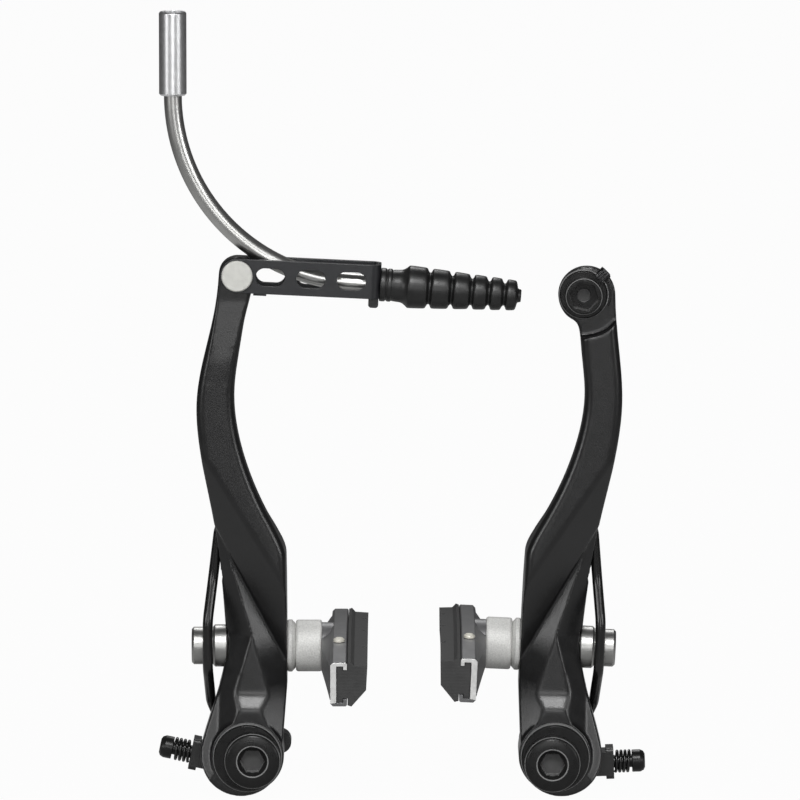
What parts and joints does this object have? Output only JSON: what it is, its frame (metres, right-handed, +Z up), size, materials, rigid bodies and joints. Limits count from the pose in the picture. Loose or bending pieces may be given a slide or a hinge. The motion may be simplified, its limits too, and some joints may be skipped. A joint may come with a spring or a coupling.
{
  "type": "v brake",
  "caption": "Linear-pull bicycle rim brake: mirrored black arms with cartridge pads, return springs, cable link, bent guide pipe with rubber boot, and cable clamp.",
  "frame": {"origin": "middle of the line between the two pivots, in the plane where the sleeves seat on the frame", "axes": "+X to the right as seen from the front, +Y from the brake towards the frame, +Z up along the arms"},
  "size_m": [0.1133, 0.072, 0.1822],
  "materials": {
    "arm_black": "satin black forged aluminium, fine grain",
    "steel_black": "black oxide, semi-gloss",
    "spring_black": "glossy black spring wire",
    "seat_black": "moulded black plastic",
    "link_black": "glossy black sheet",
    "pin_grey": "matte pale grey",
    "spacer_silver": "bead-blasted silver",
    "nut_silver": "bright zinc",
    "holder_grey": "mid-grey extrusion with bright cut ends",
    "pad_rubber": "dark charcoal rubber",
    "boot_rubber": "black rubber",
    "pipe_steel": "polished stainless steel",
    "ferrule_pale": "pale satin aluminium"
  },
  "bodies": {
    "fixings": {"left_pivot_sleeve": "steel_black", "left_pivot_bolt": "steel_black", "left_spring_seat": "seat_black", "left_screw_coil": "spring_black", "right_pivot_sleeve": "steel_black", "right_pivot_bolt": "steel_black", "right_spring_seat": "seat_black", "right_screw_coil": "spring_black"},
    "left_arm": {"left_arm": "arm_black", "left_return_spring": "spring_black", "left_dome_washer": "spacer_silver", "left_spacer": "spacer_silver", "left_nut_washer": "nut_silver", "left_pad_nut": "nut_silver", "left_pad_post": "nut_silver", "left_pad_holder": "holder_grey", "left_pad_insert": "pad_rubber", "left_pad_pin": "nut_silver", "link_pin": "pin_grey"},
    "right_arm": {"right_arm": "arm_black", "right_return_spring": "spring_black", "right_dome_washer": "spacer_silver", "right_spacer": "spacer_silver", "right_nut_washer": "nut_silver", "right_pad_nut": "nut_silver", "right_pad_post": "nut_silver", "right_pad_holder": "holder_grey", "right_pad_insert": "pad_rubber", "right_pad_pin": "nut_silver", "clamp_washer": "steel_black", "clamp_bolt": "steel_black"},
    "cable_link": {"cable_link": "link_black"},
    "guide_pipe": {"guide_pipe": "pipe_steel", "pipe_ferrule": "ferrule_pale", "pipe_collar": "pipe_steel", "cable_boot": "boot_rubber"},
    "left_tension_screw": {"left_tension_screw": "steel_black"},
    "right_tension_screw": {"right_tension_screw": "steel_black"}
  },
  "joints": [
    {"name": "left_arm_pivot", "type": "hinge", "parent": "fixings", "child": "left_arm", "pos_m": [-0.0355, 0, 0], "axis": [0, -1, 0], "range_deg": [-1.5, 25], "stiffness_Nm_per_rad": 0.8},
    {"name": "right_arm_pivot", "type": "hinge", "parent": "fixings", "child": "right_arm", "pos_m": [0.0355, 0, 0], "axis": [0, 1, 0], "range_deg": [-1.5, 25], "stiffness_Nm_per_rad": 0.8},
    {"name": "link_pivot", "type": "hinge", "parent": "left_arm", "child": "cable_link", "pos_m": [-0.03755, -0.0235, 0.1124], "axis": [0, -1, 0], "range_deg": [-20, 60]},
    {"name": "pipe_swivel", "type": "hinge", "parent": "cable_link", "child": "guide_pipe", "pos_m": [-0.00473, -0.0235, 0.10995], "axis": [0.9966, 0, -0.0819], "range_deg": [-8, 8]},
    {"name": "left_screw_turn", "type": "hinge", "parent": "fixings", "child": "left_tension_screw", "pos_m": [-0.05383, -0.0037, -0.00111], "axis": [-0.9781, 0, 0.2079], "continuous": true},
    {"name": "right_screw_turn", "type": "hinge", "parent": "fixings", "child": "right_tension_screw", "pos_m": [0.05336, -0.0037, -0.00428], "axis": [0.9994, 0, 0.0349], "continuous": true}
  ]
}
